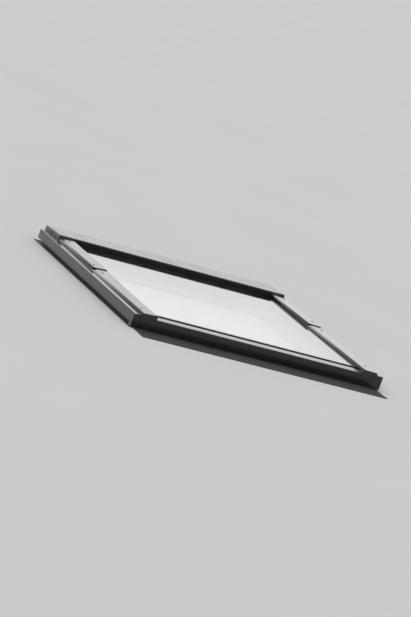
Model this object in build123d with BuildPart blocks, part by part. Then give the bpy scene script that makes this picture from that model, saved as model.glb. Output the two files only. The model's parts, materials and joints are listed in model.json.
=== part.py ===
from build123d import *
import os

os.makedirs("parts", exist_ok=True)

# Centre-pivot roof window, lying with the roof's plane level.
# X runs along the eaves, +Y up the slope and +Z out of the roof.
# The origin is under the middle of the frame, in the plane it rests on.

# Driving dimensions, mm
frame_width = 960
frame_length = 978
frame_height = 104
sill_drop = 14
rail_thickness = 30
roof_level = 70
sash_gap = 5
stile_width = 52
sash_bottom = 30
glass_seat_drop = 7
pane_thickness = 4
pane_spacing = 16
glass_margin = 12
gasket_thickness = 1.5
fit = 0.3

sheet = 1.2
cladding_sheet = 1.5
sheet_bend = 2.5
cover_bend = 8
cover_overhang = 4
cover_width = 62
cover_rise = 10
cover_fall = 2.5
sash_cover_drop = 3
pivot_gap = 2

hood_depth = 144
hood_overhang = 3
hood_step = 6
hood_fall = 6
hood_lip = 8
hood_foot_height = 6
hood_bend = 4.5
casing_leg_inset = 19
cap_length = 26
cap_wall = 2
cap_round = 4

bottom_cover_overhang = 5.3
bottom_cover_drop = 4
bottom_cover_fall = 1.3
bottom_cover_lap = 1.5

ledge_width = 45
ledge_overlap = 14
ledge_rise = 16.7
ledge_height = 34.7
ledge_rear_inset = 19
skirt_foot_height = 1.6
skirt_return = 20

flashing_sheet = 1.2
flange_depth = 5
flange_width = 85
flashing_length = 99
hem_height = 4
apron_overhang = 20
apron_hem = 12

bracket_sheet = 2.5
bracket_width = 70
bracket_length = 120
bracket_depth = 15.5
bracket_drop = 44
bracket_inset = 159
bracket_hole_inset = 14
bracket_hole_radius = 3

# Dependent dimensions
frame_x = frame_width / 2
frame_y = frame_length / 2
frame_inner_x = frame_x - rail_thickness
frame_inner_y = frame_y - rail_thickness
sash_x = frame_inner_x - sash_gap
sash_y = frame_inner_y - sash_gap
sash_inner_x = sash_x - stile_width
sash_inner_y = sash_y - stile_width
glass_x = sash_x - glass_margin
glass_y = sash_y - glass_margin
glass_rebate = 3
sill_height = frame_height - sill_drop
glass_seat = frame_height - glass_seat_drop
inner_pane_top = glass_seat + pane_thickness
outer_pane_bottom = inner_pane_top + pane_spacing
glass_top = outer_pane_bottom + pane_thickness
gasket_top = glass_top + gasket_thickness
sash_lip_top = glass_top - glass_rebate
cover_half_width = frame_x + cover_overhang
cover_inner = cover_half_width - cover_width
cover_outer_top = gasket_top + cover_rise
cover_inner_top = cover_outer_top + cover_fall
ledge_top = frame_height + ledge_rise
ledge_foot = ledge_top - ledge_height
cover_foot = ledge_top + fit
cladding_top = frame_height + cladding_sheet
ledge_inner = frame_x - ledge_overlap
ledge_half_width = ledge_inner + ledge_width
ledge_rear = frame_y - ledge_rear_inset
hood_rear = frame_y + hood_overhang
hood_front = hood_rear - hood_depth
hood_front_top = cover_inner_top + hood_step
hood_rear_top = hood_front_top - hood_fall
hood_foot = roof_level + hood_foot_height
flange_half_width = frame_x + flange_width
flashing_reach = frame_y + flashing_length
apron_half_width = frame_x + apron_overhang
bracket_reach = frame_x + bracket_length
bottom_cover_front = -frame_y - bottom_cover_overhang
bottom_cover_inner = -glass_y - 2.6
bottom_cover_top = glass_top - bottom_cover_drop
bottom_cover_foot = sill_height - bottom_cover_lap
bottom_cover_rear_top = bottom_cover_top + bottom_cover_fall
sill_lip_top = bottom_cover_top - sheet - 0.8
skirt_front = -frame_y - 2 * fit - flashing_sheet - cladding_sheet
skirt_top = sill_height + fit + cladding_sheet
skirt_foot = roof_level + skirt_foot_height
flange_level = roof_level - flange_depth
bracket_level = roof_level - bracket_depth
bracket_place = frame_y - bracket_inset
bevel = 4
small_bevel = 3
groove_level = 10
groove_width = 10
groove_depth = 6


# Timber frame: two side rails, with the head and sill rails between them

with BuildPart() as frame_right_rail:
    # Section with a lining groove near the room and an eased top edge
    with BuildSketch(Plane.XZ):
        with BuildLine():
            Polyline(
                (frame_x, 0),
                (frame_x, frame_height),
                (frame_inner_x + bevel, frame_height),
                (frame_inner_x, frame_height - bevel),
                (frame_inner_x, groove_level + groove_width),
                (frame_inner_x + groove_depth, groove_level + groove_width),
                (frame_inner_x + groove_depth, groove_level),
                (frame_inner_x, groove_level),
                (frame_inner_x, small_bevel),
                (frame_inner_x + small_bevel, 0),
                close=True,
            )
        make_face()
    extrude(amount=frame_y, both=True)
    # Seat of the pivot hinge
    hinge_half_length = 70
    hinge_middle = 71
    hinge_height = 30
    hinge_plate = 3
    with BuildSketch(Plane.YZ.offset(frame_inner_x)):
        with Locations((0, hinge_middle)):
            Rectangle(2 * hinge_half_length, hinge_height)
    extrude(amount=hinge_plate, mode=Mode.SUBTRACT)
frame_right_rail.part.label = "frame_right_rail"

with BuildPart() as frame_left_rail:
    add(mirror(frame_right_rail.part, about=Plane.YZ))
frame_left_rail.part.label = "frame_left_rail"

with BuildPart() as frame_head_rail:
    with BuildSketch(Plane.YZ):
        with BuildLine():
            Polyline(
                (frame_y, 0),
                (frame_y, frame_height),
                (frame_inner_y + bevel, frame_height),
                (frame_inner_y, frame_height - bevel),
                (frame_inner_y, groove_level + groove_width),
                (frame_inner_y + groove_depth, groove_level + groove_width),
                (frame_inner_y + groove_depth, groove_level),
                (frame_inner_y, groove_level),
                (frame_inner_y, small_bevel),
                (frame_inner_y + small_bevel, 0),
                close=True,
            )
        make_face()
    extrude(amount=frame_inner_x, both=True)
frame_head_rail.part.label = "frame_head_rail"

with BuildPart() as frame_sill_rail:
    with BuildSketch(Plane.YZ):
        with BuildLine():
            Polyline(
                (-frame_y, 0),
                (-frame_y, sill_height),
                (-frame_inner_y - bevel, sill_height),
                (-frame_inner_y, sill_height - bevel),
                (-frame_inner_y, groove_level + groove_width),
                (-frame_inner_y - groove_depth, groove_level + groove_width),
                (-frame_inner_y - groove_depth, groove_level),
                (-frame_inner_y, groove_level),
                (-frame_inner_y, small_bevel),
                (-frame_inner_y - small_bevel, 0),
                close=True,
            )
        make_face()
    extrude(amount=frame_inner_x, both=True)
frame_sill_rail.part.label = "frame_sill_rail"


# Timber sash: stiles run through, rails stand between them, and a lip runs outside the glass

with BuildPart() as sash_right_stile:
    with BuildSketch(Plane.XZ):
        with BuildLine():
            Polyline(
                (sash_x, sash_bottom),
                (sash_x, sash_lip_top),
                (glass_x + glass_rebate, sash_lip_top),
                (glass_x + glass_rebate, glass_seat),
                (sash_inner_x + 2 * bevel, glass_seat),
                (sash_inner_x, glass_seat - 2 * bevel),
                (sash_inner_x, sash_bottom + small_bevel),
                (sash_inner_x + small_bevel, sash_bottom),
                close=True,
            )
        make_face()
    extrude(amount=sash_y, both=True)
    with BuildSketch(Plane.YZ.offset(sash_x)):
        with Locations((0, hinge_middle)):
            Rectangle(2 * hinge_half_length, hinge_height)
    extrude(amount=-hinge_plate, mode=Mode.SUBTRACT)
    # The stile's lip stops under the bottom cover
    with BuildSketch(Plane.XY.offset(sill_lip_top)):
        with Locations((sash_x, -sash_y)):
            Rectangle(2 * (sash_x - glass_x), 2 * (sash_y - glass_y))
    extrude(amount=sash_lip_top - sill_lip_top, mode=Mode.SUBTRACT)
sash_right_stile.part.label = "sash_right_stile"

with BuildPart() as sash_left_stile:
    add(mirror(sash_right_stile.part, about=Plane.YZ))
sash_left_stile.part.label = "sash_left_stile"

with BuildPart() as sash_head_rail:
    with BuildSketch(Plane.YZ):
        with BuildLine():
            Polyline(
                (sash_y, sash_bottom),
                (sash_y, glass_seat),
                (sash_inner_y + 2 * bevel, glass_seat),
                (sash_inner_y, glass_seat - 2 * bevel),
                (sash_inner_y, sash_bottom + small_bevel),
                (sash_inner_y + small_bevel, sash_bottom),
                close=True,
            )
        make_face()
    extrude(amount=sash_inner_x, both=True)
    # The lip behind the glass reaches over the ends of the stiles' rebates
    with BuildSketch(Plane.XY.offset(glass_seat)):
        with Locations((0, (glass_y + glass_rebate + sash_y) / 2)):
            Rectangle(2 * glass_x, sash_y - glass_y - glass_rebate)
    extrude(amount=sash_lip_top - glass_seat)
sash_head_rail.part.label = "sash_head_rail"

with BuildPart() as sash_sill_rail:
    with BuildSketch(Plane.YZ):
        with BuildLine():
            Polyline(
                (-sash_y, sash_bottom),
                (-sash_y, glass_seat),
                (-sash_inner_y - 2 * bevel, glass_seat),
                (-sash_inner_y, glass_seat - 2 * bevel),
                (-sash_inner_y, sash_bottom + small_bevel),
                (-sash_inner_y - small_bevel, sash_bottom),
                close=True,
            )
        make_face()
    extrude(amount=sash_inner_x, both=True)
    # In front of the glass the lip is low, so that rain runs off over the cover
    with BuildSketch(Plane.XY.offset(glass_seat)):
        with Locations((0, -(glass_y + glass_rebate + sash_y) / 2)):
            Rectangle(2 * glass_x, sash_y - glass_y - glass_rebate)
    extrude(amount=sill_lip_top - glass_seat)
sash_sill_rail.part.label = "sash_sill_rail"


# Sealed glazing unit

with BuildPart() as inner_pane:
    with BuildSketch(Plane.XY.offset(glass_seat)):
        Rectangle(2 * glass_x, 2 * glass_y)
    extrude(amount=pane_thickness)
    chamfer(inner_pane.edges().filter_by(Axis.Z), length=1)
inner_pane.part.label = "inner_pane"

spacer_inset = 3
spacer_width = 12
with BuildPart() as edge_spacer:
    with BuildSketch(Plane.XY.offset(inner_pane_top)):
        Rectangle(2 * (glass_x - spacer_inset), 2 * (glass_y - spacer_inset))
        Rectangle(
            2 * (glass_x - spacer_inset - spacer_width), 2 * (glass_y - spacer_inset - spacer_width),
            mode=Mode.SUBTRACT,
        )
    extrude(amount=pane_spacing)
edge_spacer.part.label = "edge_spacer"

with BuildPart() as outer_pane:
    with BuildSketch(Plane.XY.offset(outer_pane_bottom)):
        Rectangle(2 * glass_x, 2 * glass_y)
    extrude(amount=pane_thickness)
    chamfer(outer_pane.edges().filter_by(Axis.Z), length=1)
outer_pane.part.label = "outer_pane"

# Rubber on the glass under the covers and the casing, open towards the eaves so that rain runs off
gasket_inset = 1.5
gasket_width = 12
gasket_front = -glass_y + 8
gasket_x = cover_inner + gasket_inset
gasket_rear = hood_front + gasket_width
with BuildPart() as glazing_gasket:
    with BuildSketch(Plane.XY.offset(glass_top)):
        with Locations((0, (gasket_rear - glass_y) / 2)):
            Rectangle(2 * (glass_x - fit), gasket_rear + glass_y)
        with Locations((0, (hood_front - gasket_width / 2 - glass_y) / 2)):
            Rectangle(2 * gasket_x, hood_front - gasket_width / 2 + glass_y, mode=Mode.SUBTRACT)
    extrude(amount=gasket_thickness)
glazing_gasket.part.label = "glazing_gasket"

with BuildPart() as glass_edge_seal:
    with BuildSketch(Plane.XY.offset(glass_seat + fit)):
        with Locations((0, -glass_y - fit - 1.1)):
            Rectangle(2 * (cover_inner - fit), 2.2)
    extrude(amount=glass_top - glass_seat)
glass_edge_seal.part.label = "glass_edge_seal"

with BuildPart() as sash_seal:
    seal_level = 40
    seal_height = 9
    with BuildSketch(Plane.XY.offset(seal_level)):
        Rectangle(2 * (frame_inner_x - fit), 2 * (frame_inner_y - fit))
        Rectangle(2 * (sash_x + fit), 2 * (sash_y + fit), mode=Mode.SUBTRACT)
    extrude(amount=seal_height)
sash_seal.part.label = "sash_seal"


# Pivot hinges, let into the side rail and the stile

with BuildPart() as pivot_hinge_right:
    with BuildSketch(Plane.YZ.offset(frame_inner_x)):
        with Locations((0, hinge_middle)):
            RectangleRounded(2 * (hinge_half_length - fit), hinge_height - 2 * fit, 3)
    extrude(amount=hinge_plate)
    with BuildSketch(Plane.YZ.offset(sash_x)):
        with Locations((0, hinge_middle)):
            RectangleRounded(2 * (hinge_half_length - fit), hinge_height - 2 * fit, 3)
    extrude(amount=-hinge_plate)
    with BuildSketch(Plane.YZ.offset(sash_x)):
        with Locations((0, hinge_middle)):
            SlotOverall(0.9 * hinge_half_length, 0.6 * hinge_height)
    extrude(amount=sash_gap)
pivot_hinge_right.part.label = "pivot_hinge_right"

with BuildPart() as pivot_hinge_left:
    add(mirror(pivot_hinge_right.part, about=Plane.YZ))
pivot_hinge_left.part.label = "pivot_hinge_left"


# Frame cladding: a folded ledge along each side, just outside the covers, closed at both ends

cladding_front = -frame_y - cladding_sheet
with BuildPart() as frame_cladding_right:
    with BuildSketch(Plane.XZ):
        with BuildLine():
            FilletPolyline(
                (ledge_half_width, ledge_foot),
                (ledge_half_width, ledge_top),
                (ledge_inner, ledge_top),
                (ledge_inner, cladding_top),
                (frame_inner_x + bevel, cladding_top),
                radius=sheet_bend,
            )
            offset(amount=cladding_sheet, side=Side.LEFT)
        make_face()
    extrude(amount=-cladding_front)
    extrude(frame_cladding_right.faces().sort_by(Axis.Y)[-1], amount=ledge_rear)
    with BuildSketch(Plane.XZ.offset(-cladding_front)):
        with BuildLine():
            FilletPolyline(
                (ledge_half_width, skirt_top + fit),
                (ledge_half_width, ledge_top),
                (ledge_inner, ledge_top),
                radius=sheet_bend,
            )
            Polyline((ledge_inner, ledge_top), (ledge_inner, skirt_top + fit), (ledge_half_width, skirt_top + fit))
        make_face()
    extrude(amount=cladding_sheet)
    rear_closure_inner = frame_x + fit + flashing_sheet + fit
    with BuildSketch(Plane.XZ.offset(-ledge_rear)):
        with BuildLine():
            FilletPolyline(
                (ledge_half_width, ledge_foot),
                (ledge_half_width, ledge_top),
                (rear_closure_inner, ledge_top),
                radius=sheet_bend,
            )
            Polyline((rear_closure_inner, ledge_top), (rear_closure_inner, ledge_foot), (ledge_half_width, ledge_foot))
        make_face()
    extrude(amount=cladding_sheet)
frame_cladding_right.part.label = "frame_cladding_right"

with BuildPart() as frame_cladding_left:
    add(mirror(frame_cladding_right.part, about=Plane.YZ))
frame_cladding_left.part.label = "frame_cladding_left"

with BuildPart() as frame_bottom_cover:
    with BuildSketch(Plane.YZ):
        with BuildLine():
            FilletPolyline(
                (skirt_front, skirt_foot),
                (skirt_front, skirt_top),
                (-frame_inner_y - bevel, skirt_top),
                radius=sheet_bend,
            )
            offset(amount=cladding_sheet, side=Side.RIGHT)
        make_face()
    extrude(amount=frame_inner_x - fit, both=True)
    # The skirt runs on in front of the side rails and turns back under the ledges
    with BuildSketch(Plane.XZ.offset(-skirt_front)):
        with Locations((0, (skirt_foot + skirt_top) / 2)):
            Rectangle(2 * ledge_half_width, skirt_top - skirt_foot)
        with Locations((0, skirt_top)):
            Rectangle(2 * (frame_inner_x - fit), 2 * sheet_bend, mode=Mode.SUBTRACT)
    extrude(amount=-cladding_sheet)
    with BuildSketch(Plane.XY.offset(skirt_foot)):
        with Locations((0, skirt_front + skirt_return / 2)):
            Rectangle(2 * ledge_half_width, skirt_return)
            Rectangle(2 * (ledge_half_width - cladding_sheet), skirt_return, mode=Mode.SUBTRACT)
    extrude(amount=ledge_foot - fit - skirt_foot)
frame_bottom_cover.part.label = "frame_bottom_cover"


# Side covers: upper ones fixed to the frame, lower ones to the sash

with BuildPart() as upper_cover_right:
    with BuildSketch(Plane.XZ.offset(-pivot_gap / 2)):
        with BuildLine():
            FilletPolyline(
                (cover_half_width, cover_foot),
                (cover_half_width, cover_outer_top),
                (cover_inner, cover_inner_top),
                (cover_inner, gasket_top + fit),
                radius=cover_bend,
            )
            offset(amount=sheet, side=Side.LEFT)
        make_face()
    extrude(amount=-(hood_front - fit - pivot_gap / 2))
upper_cover_right.part.label = "upper_cover_right"

with BuildPart() as upper_cover_left:
    add(mirror(upper_cover_right.part, about=Plane.YZ))
upper_cover_left.part.label = "upper_cover_left"

sash_cover_outer_top = cover_outer_top - sash_cover_drop
sash_cover_inner_top = cover_inner_top - sash_cover_drop
with BuildPart() as sash_cover_right:
    with BuildSketch(Plane.XZ.offset(pivot_gap / 2)):
        with BuildLine():
            FilletPolyline(
                (cover_half_width, cover_foot),
                (cover_half_width, sash_cover_outer_top),
                (cover_inner, sash_cover_inner_top),
                (cover_inner, gasket_top + fit),
                radius=cover_bend,
            )
            offset(amount=sheet, side=Side.LEFT)
        make_face()
    extrude(amount=-bottom_cover_front - pivot_gap / 2)
    # Closed end at the bottom corner, down to the foot of the bottom cover
    with BuildSketch(Plane.XZ.offset(-bottom_cover_front)):
        with BuildLine():
            FilletPolyline(
                (cover_half_width, bottom_cover_foot),
                (cover_half_width, sash_cover_outer_top),
                (cover_inner, sash_cover_inner_top),
                (cover_inner, bottom_cover_foot),
                radius=cover_bend,
            )
            Line((cover_inner, bottom_cover_foot), (cover_half_width, bottom_cover_foot))
        make_face()
    extrude(amount=-sheet)
    # Its inner side steps up from the frame's sill over the sash rail to the glass
    with BuildSketch(Plane.YZ.offset(cover_inner)):
        with BuildLine():
            Polyline(
                (bottom_cover_front, skirt_top + 0.7),
                (bottom_cover_front, gasket_top + 2),
                (gasket_front, gasket_top + 2),
                (gasket_front, gasket_top + fit),
                (bottom_cover_inner, gasket_top + fit),
                (bottom_cover_inner, sill_lip_top + fit),
                (-sash_y - fit, sill_lip_top + fit),
                (-sash_y - fit, skirt_top + 0.7),
                close=True,
            )
        make_face()
    extrude(amount=sheet)
sash_cover_right.part.label = "sash_cover_right"

with BuildPart() as sash_cover_left:
    add(mirror(sash_cover_right.part, about=Plane.YZ))
sash_cover_left.part.label = "sash_cover_left"

with BuildPart() as sash_bottom_cover:
    with BuildSketch(Plane.YZ):
        with BuildLine():
            FilletPolyline(
                (bottom_cover_front, bottom_cover_foot),
                (bottom_cover_front, bottom_cover_top),
                (bottom_cover_inner, bottom_cover_rear_top),
                radius=sheet_bend,
            )
            offset(amount=sheet, side=Side.RIGHT)
        make_face()
    extrude(amount=cover_inner - fit, both=True)
sash_bottom_cover.part.label = "sash_bottom_cover"


# Top casing: a bent sheet with a lip over the glass, a black seal along the lip and moulded end caps

casing_half_length = cover_half_width + sheet - cap_length - fit
casing_leg = frame_y - casing_leg_inset
casing_fall = (hood_front_top - hood_rear_top) / (hood_rear - hood_front)
casing_leg_top = hood_front_top - casing_fall * (casing_leg - hood_front) - sheet / 2
with BuildPart() as top_casing:
    with BuildSketch(Plane.YZ):
        with BuildLine():
            FilletPolyline(
                (hood_front, hood_front_top - hood_lip),
                (hood_front, hood_front_top),
                (hood_rear, hood_rear_top),
                (hood_rear, hood_foot),
                radius=hood_bend,
            )
            offset(amount=sheet, side=Side.RIGHT)
        make_face()
    extrude(amount=casing_half_length, both=True)
    # Inner leg that stands on the frame's head rail
    with BuildSketch(Plane.XZ.offset(-casing_leg)):
        with Locations((0, (frame_height + fit + casing_leg_top) / 2)):
            Rectangle(2 * (frame_inner_x - fit), casing_leg_top - frame_height - fit)
    extrude(amount=-sheet)
top_casing.part.label = "top_casing"

with BuildPart() as casing_seal:
    # Wiper between the glass and the bend of the casing's lip
    seal_thickness = 4
    seal_top = hood_front_top - 0.7 * hood_bend
    with BuildSketch(Plane.XZ.offset(-hood_front + fit)):
        with Locations((0, (gasket_top + fit + seal_top) / 2)):
            Rectangle(2 * (cover_inner - fit), seal_top - gasket_top - fit)
    extrude(amount=seal_thickness)
casing_seal.part.label = "casing_seal"

cap_foot = ledge_top + 2 * fit
with BuildPart() as top_casing_right_cap:
    # Side outline of the casing, stepped down behind the ledge
    with BuildSketch(Plane.YZ.offset(cover_half_width + sheet)):
        with BuildLine():
            Polyline(
                (hood_front, cap_foot),
                (hood_front, hood_front_top),
                (hood_rear, hood_rear_top),
                (hood_rear, hood_foot),
                (ledge_rear + 2 * fit, hood_foot),
                (ledge_rear + 2 * fit, cap_foot),
                close=True,
            )
        make_face()
    extrude(amount=-cap_length)
    # Bent over like the casing, then rounded along the whole rim of the outer face
    fillet(top_casing_right_cap.edges().filter_by(Axis.X).sort_by(Axis.Z)[-2:], radius=hood_bend)
    rim = top_casing_right_cap.edges().group_by(Axis.X)[-1]
    fillet(rim.sort_by(Axis.Z)[-1], radius=cap_round)
    with BuildSketch(Plane.YZ.offset(cover_half_width + sheet - cap_wall)):
        with BuildLine():
            Polyline(
                (hood_front + cap_wall, cap_foot),
                (hood_front + cap_wall, hood_front_top - cap_wall),
                (hood_rear - sheet, hood_rear_top - cap_wall),
                (hood_rear - sheet, hood_foot),
                (ledge_rear + 2 * fit, hood_foot),
                (ledge_rear + 2 * fit, cap_foot),
                close=True,
            )
        make_face()
    extrude(amount=-cap_length, mode=Mode.SUBTRACT)
top_casing_right_cap.part.label = "top_casing_right_cap"

with BuildPart() as top_casing_left_cap:
    add(mirror(top_casing_right_cap.part, about=Plane.YZ))
top_casing_left_cap.part.label = "top_casing_left_cap"


# Flashing: sides and head lie under the slates, the apron on top of them

upstand_top = ledge_top - cladding_sheet - 1
with BuildPart() as flashing_right:
    with BuildSketch(Plane.XZ):
        with BuildLine():
            Polyline(
                (frame_x + fit, flange_level),
                (frame_x + fit, upstand_top),
                (frame_x + fit + flashing_sheet, upstand_top),
                (frame_x + fit + flashing_sheet, flange_level + flashing_sheet),
                (flange_half_width - flashing_sheet, flange_level + flashing_sheet),
                (flange_half_width - flashing_sheet, flange_level + hem_height),
                (flange_half_width, flange_level + hem_height),
                (flange_half_width, flange_level),
                close=True,
            )
        make_face()
    extrude(amount=frame_y, both=True)
flashing_right.part.label = "flashing_right"

with BuildPart() as flashing_left:
    add(mirror(flashing_right.part, about=Plane.YZ))
flashing_left.part.label = "flashing_left"

with BuildPart() as flashing_head:
    with BuildSketch(Plane.YZ):
        with BuildLine():
            Polyline(
                (frame_y + fit, flange_level),
                (frame_y + fit, flange_level + flashing_sheet),
                (flashing_reach - flashing_sheet, flange_level + flashing_sheet),
                (flashing_reach - flashing_sheet, flange_level + hem_height),
                (flashing_reach, flange_level + hem_height),
                (flashing_reach, flange_level),
                close=True,
            )
        make_face()
    extrude(amount=flange_half_width, both=True)
    # Upstand behind the head rail, as long as the frame is wide
    with BuildSketch(Plane.XZ.offset(-frame_y - fit)):
        with Locations((0, (flange_level + upstand_top) / 2)):
            Rectangle(2 * (frame_x + fit + flashing_sheet), upstand_top - flange_level)
    extrude(amount=-flashing_sheet)
flashing_head.part.label = "flashing_head"

apron_back = -frame_y - fit
apron_top = roof_level + flashing_sheet
with BuildPart() as flashing_apron:
    with BuildSketch(Plane.YZ):
        with BuildLine():
            Polyline(
                (apron_back, roof_level),
                (apron_back, sill_height - 2 * sheet_bend),
                (apron_back - flashing_sheet, sill_height - 2 * sheet_bend),
                (apron_back - flashing_sheet, apron_top),
                (-flashing_reach + apron_hem, apron_top),
                (-flashing_reach + apron_hem, apron_top + flashing_sheet),
                (-flashing_reach, apron_top + flashing_sheet),
                (-flashing_reach, roof_level),
                close=True,
            )
        make_face()
    extrude(amount=apron_half_width, both=True)
flashing_apron.part.label = "flashing_apron"


# Ventilation flap and control bar at the sash head, on the room side

flap_inset = 53
flap_half_width = sash_inner_x - flap_inset
flap_low = 34
flap_high = 78
flap_thickness = 9
slot_count = 12
slot_height = 8
slot_gap = 14
flap_end = 16
slot_pitch = 2 * (flap_half_width - flap_end) / slot_count
with BuildPart() as vent_flap:
    with BuildSketch(Plane.XZ.offset(-(sash_inner_y - flap_thickness))):
        with Locations((0, (flap_low + flap_high) / 2)):
            Rectangle(2 * flap_half_width, flap_high - flap_low)
        with Locations((0, (flap_low + flap_high) / 2)):
            with GridLocations(slot_pitch, 0, slot_count, 1):
                SlotOverall(slot_pitch - slot_gap, slot_height, mode=Mode.SUBTRACT)
    extrude(amount=-flap_thickness)
vent_flap.part.label = "vent_flap"

bar_inset = 22
bar_y = sash_inner_y + bar_inset
bar_z = 13
bar_half_depth = 12
bar_half_height = 8
with BuildPart() as control_bar:
    with BuildSketch(Plane.YZ):
        with Locations((bar_y, bar_z)):
            Ellipse(bar_half_depth, bar_half_height)
    extrude(amount=flap_half_width, both=True)
control_bar.part.label = "control_bar"

bar_bracket_inset = 50
bar_bracket_length = 30
bar_bracket_width = 24
with BuildPart() as control_bar_bracket_left:
    with BuildSketch(Plane.YZ.offset(-flap_half_width + bar_bracket_inset)):
        with Locations((bar_y, (bar_z + sash_bottom) / 2)):
            Rectangle(bar_bracket_length, sash_bottom - bar_z)
        with Locations((bar_y, bar_z)):
            Ellipse(bar_half_depth + fit / 3, bar_half_height + fit / 3, mode=Mode.SUBTRACT)
    extrude(amount=bar_bracket_width)
control_bar_bracket_left.part.label = "control_bar_bracket_left"

with BuildPart() as control_bar_bracket_right:
    add(mirror(control_bar_bracket_left.part, about=Plane.YZ))
control_bar_bracket_right.part.label = "control_bar_bracket_right"


# Steel mounting brackets, screwed to the side rails and to the roof's battens

with BuildPart() as bracket_upper_right:
    with BuildSketch(Plane.XZ.offset(-bracket_place)):
        with BuildLine():
            Polyline(
                (frame_x, bracket_level - bracket_drop),
                (frame_x, bracket_level),
                (bracket_reach, bracket_level),
                (bracket_reach, bracket_level - bracket_sheet),
                (frame_x + bracket_sheet, bracket_level - bracket_sheet),
                (frame_x + bracket_sheet, bracket_level - bracket_drop),
                close=True,
            )
        make_face()
    extrude(amount=bracket_width / 2, both=True)
    with Locations((bracket_reach - bracket_hole_inset, bracket_place, bracket_level)):
        Hole(bracket_hole_radius, depth=bracket_sheet)
    fillet(bracket_upper_right.edges().filter_by(Axis.Z).group_by(Axis.X)[-1], radius=10)
bracket_upper_right.part.label = "bracket_upper_right"

with BuildPart() as bracket_lower_right:
    add(mirror(bracket_upper_right.part, about=Plane.XZ))
bracket_lower_right.part.label = "bracket_lower_right"

with BuildPart() as bracket_upper_left:
    add(mirror(bracket_upper_right.part, about=Plane.YZ))
bracket_upper_left.part.label = "bracket_upper_left"

with BuildPart() as bracket_lower_left:
    add(mirror(bracket_lower_right.part, about=Plane.YZ))
bracket_lower_left.part.label = "bracket_lower_left"


export_step(frame_right_rail.part, "parts/frame_right_rail.step")
export_step(frame_left_rail.part, "parts/frame_left_rail.step")
export_step(frame_head_rail.part, "parts/frame_head_rail.step")
export_step(frame_sill_rail.part, "parts/frame_sill_rail.step")
export_step(sash_right_stile.part, "parts/sash_right_stile.step")
export_step(sash_left_stile.part, "parts/sash_left_stile.step")
export_step(sash_head_rail.part, "parts/sash_head_rail.step")
export_step(sash_sill_rail.part, "parts/sash_sill_rail.step")
export_step(inner_pane.part, "parts/inner_pane.step")
export_step(edge_spacer.part, "parts/edge_spacer.step")
export_step(outer_pane.part, "parts/outer_pane.step")
export_step(glazing_gasket.part, "parts/glazing_gasket.step")
export_step(glass_edge_seal.part, "parts/glass_edge_seal.step")
export_step(sash_seal.part, "parts/sash_seal.step")
export_step(pivot_hinge_right.part, "parts/pivot_hinge_right.step")
export_step(pivot_hinge_left.part, "parts/pivot_hinge_left.step")
export_step(frame_cladding_right.part, "parts/frame_cladding_right.step")
export_step(frame_cladding_left.part, "parts/frame_cladding_left.step")
export_step(frame_bottom_cover.part, "parts/frame_bottom_cover.step")
export_step(upper_cover_right.part, "parts/upper_cover_right.step")
export_step(upper_cover_left.part, "parts/upper_cover_left.step")
export_step(sash_cover_right.part, "parts/sash_cover_right.step")
export_step(sash_cover_left.part, "parts/sash_cover_left.step")
export_step(sash_bottom_cover.part, "parts/sash_bottom_cover.step")
export_step(top_casing.part, "parts/top_casing.step")
export_step(casing_seal.part, "parts/casing_seal.step")
export_step(top_casing_right_cap.part, "parts/top_casing_right_cap.step")
export_step(top_casing_left_cap.part, "parts/top_casing_left_cap.step")
export_step(flashing_right.part, "parts/flashing_right.step")
export_step(flashing_left.part, "parts/flashing_left.step")
export_step(flashing_head.part, "parts/flashing_head.step")
export_step(flashing_apron.part, "parts/flashing_apron.step")
export_step(vent_flap.part, "parts/vent_flap.step")
export_step(control_bar.part, "parts/control_bar.step")
export_step(control_bar_bracket_left.part, "parts/control_bar_bracket_left.step")
export_step(control_bar_bracket_right.part, "parts/control_bar_bracket_right.step")
export_step(bracket_upper_right.part, "parts/bracket_upper_right.step")
export_step(bracket_lower_right.part, "parts/bracket_lower_right.step")
export_step(bracket_upper_left.part, "parts/bracket_upper_left.step")
export_step(bracket_lower_left.part, "parts/bracket_lower_left.step")
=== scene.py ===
import bpy, bmesh, json, math
from mathutils import Matrix, Vector

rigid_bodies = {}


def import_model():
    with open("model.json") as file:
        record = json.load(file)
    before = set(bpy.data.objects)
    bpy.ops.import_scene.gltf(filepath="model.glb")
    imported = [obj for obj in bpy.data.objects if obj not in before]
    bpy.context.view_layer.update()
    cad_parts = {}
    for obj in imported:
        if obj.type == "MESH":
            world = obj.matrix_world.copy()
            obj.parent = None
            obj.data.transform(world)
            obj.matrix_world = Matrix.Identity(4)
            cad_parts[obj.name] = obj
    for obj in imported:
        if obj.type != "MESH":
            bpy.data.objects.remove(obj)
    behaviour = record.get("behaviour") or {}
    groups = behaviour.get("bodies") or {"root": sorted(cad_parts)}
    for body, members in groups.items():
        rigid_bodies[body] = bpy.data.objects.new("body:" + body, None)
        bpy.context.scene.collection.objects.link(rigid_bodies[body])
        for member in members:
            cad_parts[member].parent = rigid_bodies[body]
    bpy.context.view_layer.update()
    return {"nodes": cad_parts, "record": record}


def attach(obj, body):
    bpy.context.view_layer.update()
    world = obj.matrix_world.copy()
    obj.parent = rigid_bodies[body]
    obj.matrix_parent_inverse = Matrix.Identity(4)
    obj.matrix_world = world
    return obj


for leftover in list(bpy.data.objects):
    bpy.data.objects.remove(leftover)

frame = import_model()
solids = frame["nodes"]

ROOF_LEVEL = 0.070
FLOOR_LEVEL = ROOF_LEVEL - 0.0005
HOLE_LOW = (-0.5125, -0.4893)
HOLE_HIGH = (0.5125, 0.500)


# Shader maths


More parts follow.
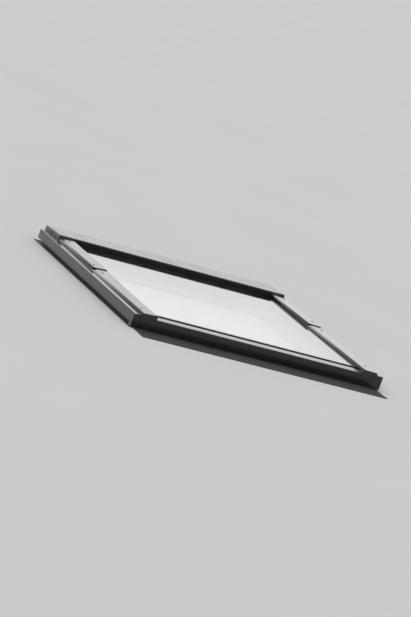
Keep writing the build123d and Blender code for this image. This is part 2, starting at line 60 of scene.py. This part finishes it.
class Value:
    """A socket of a finish's node tree. Arithmetic on it adds Math nodes."""

    def __init__(self, finish, socket):
        self.finish = finish
        self.socket = socket

    def maths(self, operation, *others):
        inputs = dict(enumerate((self,) + others))
        return self.finish.add("ShaderNodeMath", {"operation": operation}, inputs)

    def __add__(self, other):
        return self.maths("ADD", other)

    def __mul__(self, other):
        return self.maths("MULTIPLY", other)

    def __rsub__(self, other):
        return self.finish.add("ShaderNodeMath", {"operation": "SUBTRACT"}, {0: other, 1: self})

    __radd__ = __add__
    __rmul__ = __mul__

    def power(self, other):
        return self.maths("POWER", other)

    def between(self, low, high):
        """0 below low, 1 above high and a smooth ramp between."""
        return self.finish.add(
            "ShaderNodeMapRange", {"interpolation_type": "SMOOTHSTEP"},
            {"Value": self, "From Min": low, "From Max": high},
        )

    def stretched(self, *scale):
        return self.finish.add("ShaderNodeVectorMath", {"operation": "MULTIPLY"}, {0: self, 1: scale})

    def part(self, axis):
        return self.finish.add("ShaderNodeSeparateXYZ", {}, {0: self}, axis)


class Finish:
    """A material with one shader, built from nodes."""

    def __init__(self, name):
        self.material = bpy.data.materials.new(name)
        self.material.use_nodes = True
        self.tree = self.material.node_tree
        self.tree.nodes.clear()
        self.place = self.add("ShaderNodeTexCoord", {}, {}, "Object")

    def add(self, kind, settings=None, inputs=None, output=0):
        node = self.tree.nodes.new(kind)
        for key, value in (settings or {}).items():
            setattr(node, key, value)
        for key, value in (inputs or {}).items():
            if isinstance(value, Value):
                self.tree.links.new(value.socket, node.inputs[key])
            else:
                node.inputs[key].default_value = value
        return Value(self, node.outputs[output]) if node.outputs else None

    def noise(self, scale, detail=2.0, roughness=0.5, place=None):
        return self.add(
            "ShaderNodeTexNoise", {},
            {"Vector": place or self.place, "Scale": scale, "Detail": detail, "Roughness": roughness},
        )

    def mixed(self, factor, first, second):
        values = {0: factor, 6: first, 7: second}
        values = {k: (*v, 1) if isinstance(v, tuple) else v for k, v in values.items()}
        return self.add("ShaderNodeMix", {"data_type": "RGBA"}, values, 2)

    def bumped(self, height, distance, strength=1.0, normal=None):
        inputs = {"Height": height, "Distance": distance, "Strength": strength}
        if normal:
            inputs["Normal"] = normal
        return self.add("ShaderNodeBump", {}, inputs)

    def facing_up(self):
        return self.add("ShaderNodeNewGeometry", {}, {}, "Normal").part(2)

    def slanting(self):
        """0 where the surface faces the eye, 1 where it turns away."""
        return self.add("ShaderNodeLayerWeight", {}, {"Blend": 0.5}, "Facing")

    def shader(self, **inputs):
        inputs = {k.replace("_", " "): v for k, v in inputs.items()}
        colour = inputs.get("Base Color")
        if isinstance(colour, tuple):
            inputs["Base Color"] = (*colour, 1)
        return self.add("ShaderNodeBsdfPrincipled", {}, inputs)

    def shown(self, surface):
        self.add("ShaderNodeOutputMaterial", {}, {"Surface": surface})
        return self.material


# Finishes


def cover_lacquer():
    """Near-black stove lacquer on folded sheet: orange peel, shallow waves, dust and rain runs."""
    f = Finish("cover_lacquer")
    cloud = f.noise(9.0, 3.0)
    runs = f.noise(1.0, 4.0, 0.6, f.place.stretched(60.0, 4.0, 60.0))
    level = f.facing_up().between(0.5, 0.95)
    grime = (cloud.between(0.35, 0.7) * 0.5 + runs.between(0.45, 0.7) * 0.5) * (level * 0.75 + 0.25)
    base = f.mixed(grime * 0.6 + level * 0.2, (0.0175, 0.0155, 0.0125), (0.056, 0.052, 0.046))
    speck = f.noise(420.0, 2.0).between(0.6, 0.8)
    base = f.mixed(speck * 0.2, base, (0.07, 0.067, 0.062))
    peel = f.bumped(f.noise(900.0, 2.0), 0.00003, 0.4, f.bumped(f.noise(11.0, 1.0), 0.0005, 0.2))
    # The top casing has weathered most and shines least
    weathered = f.place.part(1).between(0.345, 0.352) * level
    return f.shown(f.shader(
        Base_Color=base, Roughness=grime * 0.12 + cloud * 0.08 + 0.14, Normal=peel,
        Coat_Weight=f.slanting().between(0.38, 0.72) * (1.0 - weathered * 0.5),
        Coat_Roughness=0.05, Coat_IOR=1.75,
        Specular_Tint=(1.0, 0.93, 0.84, 1.0),
    ))


def flashing_lacquer():
    """Purple-grey matte lacquer on soft flashing: dressed ripples, dirt gathered in patches."""
    f = Finish("flashing_lacquer")
    cloud = f.noise(7.0, 4.0, 0.6)
    runs = f.noise(1.0, 4.0, 0.6, f.place.stretched(40.0, 3.0, 40.0))
    grime = cloud.between(0.35, 0.75) * 0.6 + runs.between(0.5, 0.75) * 0.4
    base = f.mixed(grime * 0.5, (0.064, 0.058, 0.062), (0.100, 0.094, 0.092))
    # Painted light: the flashing in the gutters beside the frame is lightened to a pale grey, lifting the
    # shade of that recess
    outside = f.place.part(0).maths("ABSOLUTE").between(0.4795, 0.4815)
    gutter_painted_light = outside * f.place.part(1).between(-0.4905, -0.485)
    base = f.mixed(gutter_painted_light * (cloud * 0.3 + 0.7), base, (0.22, 0.21, 0.195))
    normal = f.bumped(f.noise(26.0, 2.0), 0.0008, 0.35)
    return f.shown(f.shader(
        Base_Color=base, Roughness=grime * 0.15 + 0.72, Normal=normal, Specular_IOR_Level=0.12,
    ))


def white_timber(name, along):
    """Pine under white lacquer: raised fibres and soft growth rings along one axis (0 is X, 1 is Y)."""
    f = Finish(name)
    squeeze = [1.0, 1.0, 1.0]
    squeeze[along] = 0.05
    wander = f.noise(5.0, 2.0, 0.5, f.place.stretched(*squeeze))
    across = f.place.part(1 - along)
    rise = f.place.part(2)
    radius = ((across * 7.0 + wander * 2.2).power(2.0) + (rise * 5.0 + 0.9).power(2.0)).power(0.5)
    ring = (radius * 46.0 + f.noise(30.0, 2.0, 0.5, f.place.stretched(*squeeze)) * 1.6).maths("FRACT")
    late = ring.between(0.55, 0.98) * (1.0 - ring.between(0.98, 1.0))
    squeeze[along] = 0.02
    fibre = f.noise(900.0, 2.0, 0.6, f.place.stretched(*squeeze))
    base = f.mixed(late * 0.5, (0.80, 0.79, 0.77), (0.71, 0.695, 0.67))
    base = f.mixed(fibre.between(0.45, 0.8) * 0.3, base, (0.68, 0.66, 0.63))
    normal = f.bumped(fibre, 0.0001, 0.4, f.bumped(late, 0.00012, 0.3))
    return f.shown(f.shader(
        Base_Color=base, Roughness=fibre * 0.12 + 0.3, Normal=normal, Coat_Weight=0.25, Coat_Roughness=0.2,
    ))


def clear_glass(name, tint, coat):
    """Pane that lets lamps through, with a thin film of rain dust and a hard coat where it meets the rain."""
    f = Finish(name)
    streaks = f.noise(1.0, 4.0, 0.6, f.place.stretched(22.0, 3.0, 1.0))
    spots = f.noise(160.0, 3.0)
    film = streaks.between(0.5, 0.8) * 0.03 + spots.between(0.62, 0.75) * 0.04
    glass = f.shader(
        Base_Color=tint, Roughness=0.0, Transmission_Weight=1.0, IOR=1.5,
        Coat_Weight=coat, Coat_Roughness=0.02, Coat_IOR=1.65,
    )
    dust = f.shader(Base_Color=(0.55, 0.53, 0.50), Roughness=0.8)
    dirty = f.add("ShaderNodeMixShader", {}, {0: film, 1: glass, 2: dust})
    clear = f.add("ShaderNodeBsdfTransparent", {}, {"Color": (*tint, 1)})
    lamp = f.add("ShaderNodeLightPath", {}, {}, "Is Shadow Ray")
    return f.shown(f.add("ShaderNodeMixShader", {}, {0: lamp, 1: dirty, 2: clear}))


def black_rubber():
    f = Finish("black_rubber")
    grain = f.noise(700.0, 2.0)
    bloom = f.noise(18.0, 3.0)
    base = f.mixed(bloom.between(0.45, 0.75) * 0.4, (0.024, 0.024, 0.0245), (0.040, 0.0395, 0.039))
    return f.shown(f.shader(
        Base_Color=base, Roughness=bloom * 0.15 + 0.78, Normal=f.bumped(grain, 0.0001, 0.5),
        Specular_IOR_Level=0.12,
    ))


def zinc_steel():
    f = Finish("zinc_steel")
    spangle = f.add("ShaderNodeTexVoronoi", {}, {"Vector": f.place, "Scale": 190.0}, "Color").part(0)
    stain = f.noise(30.0, 3.0)
    base = f.mixed(spangle * 0.6, (0.52, 0.53, 0.55), (0.68, 0.69, 0.70))
    base = f.mixed(stain.between(0.55, 0.75) * 0.4, base, (0.40, 0.39, 0.37))
    return f.shown(f.shader(
        Base_Color=base, Metallic=1.0, Roughness=spangle * 0.15 + stain * 0.15 + 0.25,
        Normal=f.bumped(spangle, 0.00005, 0.3),
    ))


def brushed_aluminium(name, dark, light):
    f = Finish(name)
    brush = f.noise(1.0, 3.0, 0.7, f.place.stretched(12.0, 2600.0, 2600.0))
    return f.shown(f.shader(
        Base_Color=f.mixed(brush, dark, light), Metallic=1.0, Roughness=brush * 0.14 + 0.26,
        Normal=f.bumped(brush, 0.00003, 0.4),
    ))


def moulded_plastic():
    f = Finish("moulded_plastic")
    grain = f.noise(1400.0, 2.0)
    base = f.mixed(f.noise(12.0, 2.0), (0.50, 0.50, 0.49), (0.56, 0.56, 0.55))
    return f.shown(f.shader(
        Base_Color=base, Roughness=grain * 0.15 + 0.42, Normal=f.bumped(grain, 0.00005, 0.5),
    ))


lacquer = cover_lacquer()
flashing = flashing_lacquer()
timber_across = white_timber("timber_across", 0)
timber_along = white_timber("timber_along", 1)
pane_glass = clear_glass("pane_glass", (0.80, 0.79, 0.82), 0.0)
coated_glass = clear_glass("coated_glass", (0.80, 0.79, 0.82), 1.0)
rubber = black_rubber()
zinc = zinc_steel()
aluminium = brushed_aluminium("brushed_aluminium", (0.60, 0.60, 0.61), (0.78, 0.78, 0.79))
plastic = moulded_plastic()

finish_of_slot = {
    "cover_metal": lacquer, "flashing_metal": flashing, "glass": pane_glass, "rubber": rubber,
    "steel": zinc, "aluminium": aluminium, "plastic": plastic, "spacer": rubber,
}
slot_of_node = {row["node"]: row["material_slot"] for row in frame["record"]["subparts"]}
for name, solid in solids.items():
    slot = slot_of_node[name]
    if slot == "timber":
        material = timber_along if "left" in name or "right" in name else timber_across
    elif name == "outer_pane":
        material = coated_glass
    else:
        material = finish_of_slot[slot]
    for place in solid.material_slots:
        place.material = material


# Eased edges on the sheet metal and the timber

EDGE = {
    "cover_metal": 0.0005, "flashing_metal": 0.0003, "timber": 0.0012, "steel": 0.0004, "plastic": 0.0005,
}
for name, solid in solids.items():
    width = EDGE.get(slot_of_node[name])
    if width:
        weld = solid.modifiers.new("weld", "WELD")
        weld.merge_threshold = 0.00001
        bevel = solid.modifiers.new("eased_edges", "BEVEL")
        bevel.width = width
        bevel.segments = 2
        bevel.limit_method = "ANGLE"
        bevel.angle_limit = math.radians(40)


# Small pieces


def closed_piece(name, points, faces, material, slot):
    mesh = bpy.data.meshes.new(name)
    mesh.from_pydata(points, [], faces)
    mesh.materials.append(material)
    piece = bpy.data.objects.new(name, mesh)
    bpy.context.scene.collection.objects.link(piece)
    work = bmesh.new()
    work.from_mesh(mesh)
    bmesh.ops.recalc_face_normals(work, faces=work.faces)
    work.to_mesh(mesh)
    work.free()
    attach(piece, "root")
    return piece


def stacked_rings(rings):
    """Faces that join rings of equally many points, with both ends closed."""
    count = len(rings[0])
    points = [point for ring in rings for point in ring]
    faces = [tuple(reversed(range(count))), tuple(range(len(points) - count, len(points)))]
    for low in range(0, len(points) - count, count):
        for n in range(count):
            m = (n + 1) % count
            faces.append((low + n, low + m, low + count + m, low + count + n))
    return points, faces


SCREW_SIDES = 36
SCREW_PROFILE = ((1.0, 0.0), (1.0, 0.35), (0.93, 0.68), (0.78, 0.9), (0.58, 1.0))


def pan_head_screw(name, seat, outward, radius, material, slot):
    """Round head with a six-lobed recess, its underside on seat."""
    height = radius * 0.6
    turn = Vector(outward).to_track_quat("Z", "Y")
    profile = [(radius * r, height * h, 0.0) for r, h in SCREW_PROFILE]
    profile += [(radius * 0.44, height, 0.16), (radius * 0.41, height * 0.35, 0.16)]
    rings = []
    for reach, level, lobe in profile:
        ring = []
        for n in range(SCREW_SIDES):
            angle = 2 * math.pi * n / SCREW_SIDES
            r = reach * (1 + lobe * math.cos(6 * angle))
            ring.append(Vector(seat) + turn @ Vector((r * math.cos(angle), r * math.sin(angle), level)))
        rings.append(ring)
    piece = closed_piece(name, *stacked_rings(rings), material, slot)
    for face in piece.data.polygons:
        face.use_smooth = len(face.vertices) == 4 and face.area < 1e-6
    return piece


COVER_SCREW = 0.0030
BRACKET_SCREW = 0.0045
COVER_HALF_WIDTH = 0.484
COVER_SLOPE = 2.5 / 62.0
COVER_BEND = 0.008
UPPER_COVER_EDGE = 0.1325
SASH_COVER_EDGE = 0.1295
COVER_SCREW_ROW = 0.462
CAP_FACE = 0.4852
CASING_REAR_FACE = 0.492
BRACKET_FACE = 0.4825
BRACKET_ROW = 0.330
BAR_END = 0.340


def cover_top(x, edge_height):
    """Height of a side cover's sloping top at x from the middle."""
    return edge_height + (COVER_HALF_WIDTH - abs(x)) * COVER_SLOPE


COVER_SCREWS = (
    ("upper_cover_screw", UPPER_COVER_EDGE, (0.045, 0.305)),
    ("sash_cover_screw", SASH_COVER_EDGE, (-0.045, -0.430)),
)
for side, way in (("left", -1), ("right", 1)):
    for label, edge_height, row in COVER_SCREWS:
        for number, y in enumerate(row):
            x = COVER_SCREW_ROW
            pan_head_screw(f"{label}_{side}_{number + 1}", (way * x, y, cover_top(x, edge_height)),
                           (way * COVER_SLOPE, 0, 1), COVER_SCREW, lacquer, "cover_metal")
    pan_head_screw(f"casing_cap_screw_{side}", (way * CAP_FACE, 0.425, 0.1285), (way, 0, 0),
                   COVER_SCREW, lacquer, "cover_metal")
    for level, row in (("upper", BRACKET_ROW), ("lower", -BRACKET_ROW)):
        for number, step in enumerate((-0.020, 0.020)):
            pan_head_screw(f"bracket_screw_{level}_{side}_{number + 1}",
                           (way * BRACKET_FACE, row + step, 0.0245), (way, 0, 0),
                           BRACKET_SCREW, zinc, "steel")
for number, x in enumerate((-0.30, 0.0, 0.30)):
    pan_head_screw(f"casing_rear_screw_{number + 1}", (x, CASING_REAR_FACE, 0.105), (0, 1, 0),
                   COVER_SCREW, lacquer, "cover_metal")


def bent_strip(name, outline, thickness, low, high, material, slot):
    """Strip bent along an outline in the XZ plane, from y low to y high."""
    inner = []
    for n, (x, z) in enumerate(outline):
        before = Vector(outline[max(n - 1, 0)])
        after = Vector(outline[min(n + 1, len(outline) - 1)])
        along = (after - before).normalized()
        inner.append((x + along.y * thickness, z - along.x * thickness))
    loop = list(outline) + inner[::-1]
    rings = [[(x, y, z) for x, z in loop] for y in (low, high)]
    return closed_piece(name, *stacked_rings(rings), material, slot)


def joint_outline(way):
    """Underside of the sash cover, from its outer leg over the bend to its inner edge."""
    gap = 0.0014
    reach, top, bend = COVER_HALF_WIDTH - gap, SASH_COVER_EDGE - gap, COVER_BEND - gap
    outline = [(reach, 0.1211)]
    for n in range(7):
        angle = math.radians(90 * n / 6)
        outline.append((reach - bend + bend * math.cos(angle), top - bend + bend * math.sin(angle)))
    outline.append((0.4300, top + (COVER_HALF_WIDTH - 0.430) * COVER_SLOPE))
    return [(way * x, z) for x, z in outline]


for side, way in (("left", -1), ("right", 1)):
    bent_strip(f"pivot_joint_strip_{side}", joint_outline(way), 0.0010 * -way, -0.014, 0.014,
               lacquer, "cover_metal")


def bar_end_cap(name, x, way):
    """Domed plug on the end of the control bar."""
    rings = []
    for step, share in ((0.0, 1.03), (0.004, 1.03), (0.0065, 0.93), (0.0075, 0.72)):
        rings.append([
            (x + way * step, 0.424 + 0.012 * share * math.cos(a), 0.013 + 0.008 * share * math.sin(a))
            for a in (2 * math.pi * k / 32 for k in range(32))
        ])
    return closed_piece(name, *stacked_rings(rings), plastic, "plastic")


bar_end_cap("control_bar_end_left", -BAR_END, -1)
bar_end_cap("control_bar_end_right", BAR_END, 1)



# Stage: a pale floor at the level of the slates, open under the window


def plane_with_hole(name, reach, low, high, level, lip_depth):
    """Level plane with a hole, whose front edge turns down against the ends of the side flashing."""
    work = bmesh.new()
    outer = [(-reach, -reach), (reach, -reach), (reach, reach), (-reach, reach)]
    inner = [(low[0], low[1]), (high[0], low[1]), (high[0], high[1]), (low[0], high[1])]
    rim = [work.verts.new((x, y, level)) for x, y in outer]
    edge = [work.verts.new((x, y, level)) for x, y in inner]
    for n in range(4):
        m = (n + 1) % 4
        work.faces.new((rim[n], rim[m], edge[m], edge[n]))
    lip = [work.verts.new((x, low[1], level - lip_depth)) for x in (low[0], high[0])]
    work.faces.new((edge[0], edge[1], lip[1], lip[0]))
    mesh = bpy.data.meshes.new(name)
    work.to_mesh(mesh)
    work.free()
    piece = bpy.data.objects.new(name, mesh)
    bpy.context.scene.collection.objects.link(piece)
    return piece


floor = plane_with_hole("floor", 14.0, HOLE_LOW, HOLE_HIGH, FLOOR_LEVEL, 0.010)
f = Finish("pale_floor")
floor.data.materials.append(f.shown(f.shader(
    Base_Color=f.mixed(f.noise(2.0, 3.0), (0.70, 0.685, 0.67), (0.74, 0.725, 0.71)), Roughness=0.9,
)))


# Light and camera

world = bpy.data.worlds.new("sky")
bpy.context.scene.world = world
world.use_nodes = True
tree = world.node_tree
tree.nodes.clear()


def sky_node(kind, settings=None, inputs=None):
    node = tree.nodes.new(kind)
    for key, value in (settings or {}).items():
        setattr(node, key, value)
    for key, value in (inputs or {}).items():
        if isinstance(value, bpy.types.NodeSocket):
            tree.links.new(value, node.inputs[key])
        else:
            node.inputs[key].default_value = value
    return node


rays = sky_node("ShaderNodeLightPath")
seen = sky_node("ShaderNodeMath", {"operation": "MAXIMUM"},
                {0: rays.outputs["Is Camera Ray"], 1: rays.outputs["Is Glossy Ray"]})
seen = sky_node("ShaderNodeMath", {"operation": "MAXIMUM"},
                {0: seen.outputs[0], 1: rays.outputs["Is Transmission Ray"]})
plain = sky_node("ShaderNodeBackground", {}, {"Color": (0.86, 0.90, 0.96, 1), "Strength": 0.55})
white = sky_node("ShaderNodeBackground", {}, {"Color": (1, 1, 1, 1), "Strength": 1.0})
both = sky_node("ShaderNodeMixShader", {}, {0: seen.outputs[0], 1: plain.outputs[0], 2: white.outputs[0]})
sky_node("ShaderNodeOutputWorld", {}, {"Surface": both.outputs[0]})


def soft_lamp(name, towards, spread, strength):
    """Even light from one direction, as soft as a cloudy sky."""
    lamp = bpy.data.lights.new(name, "SUN")
    lamp.energy = strength
    lamp.angle = math.radians(spread)
    lamp.color = (1.0, 0.99, 0.975)
    piece = bpy.data.objects.new(name, lamp)
    bpy.context.scene.collection.objects.link(piece)
    piece.rotation_euler = Vector(towards).to_track_quat("Z", "Y").to_euler()
    piece.visible_glossy = False
    piece.visible_transmission = False


soft_lamp("lamp_left", (-0.55, 0.25, 0.80), 70, 0.75)
soft_lamp("lamp_back", (0.25, 0.60, 0.75), 90, 0.55)
soft_lamp("lamp_room", (0.0, 0.2, -1.0), 120, 0.6)


def aimed_camera(target, towards, distance, right, up, lens):
    """Camera in direction towards from target, its picture turned as right and up were in the photograph."""
    back = Vector(towards).normalized()
    old_back = Vector(right).cross(Vector(up))
    turn = old_back.rotation_difference(back)
    side, top = turn @ Vector(right), turn @ Vector(up)
    data = bpy.data.cameras.new("camera")
    data.lens = lens
    data.sensor_width = 36.0
    data.clip_end = 200.0
    camera = bpy.data.objects.new("camera", data)
    bpy.context.scene.collection.objects.link(camera)
    rotation = Matrix((side, top, back)).transposed().to_4x4()
    camera.matrix_world = Matrix.Translation(Vector(target) + back * distance) @ rotation
    bpy.context.scene.camera = camera


aimed_camera(
    target=(0.0, 0.0, 0.09), towards=(-0.4588666, -0.86706625, 0.19400404), distance=11.83693,
    right=(0.87121093, -0.35673036, 0.33724613), up=(-0.16238729, 0.43889141, 0.8837447), lens=190.0,
)

bpy.context.scene.view_settings.view_transform = "Standard"
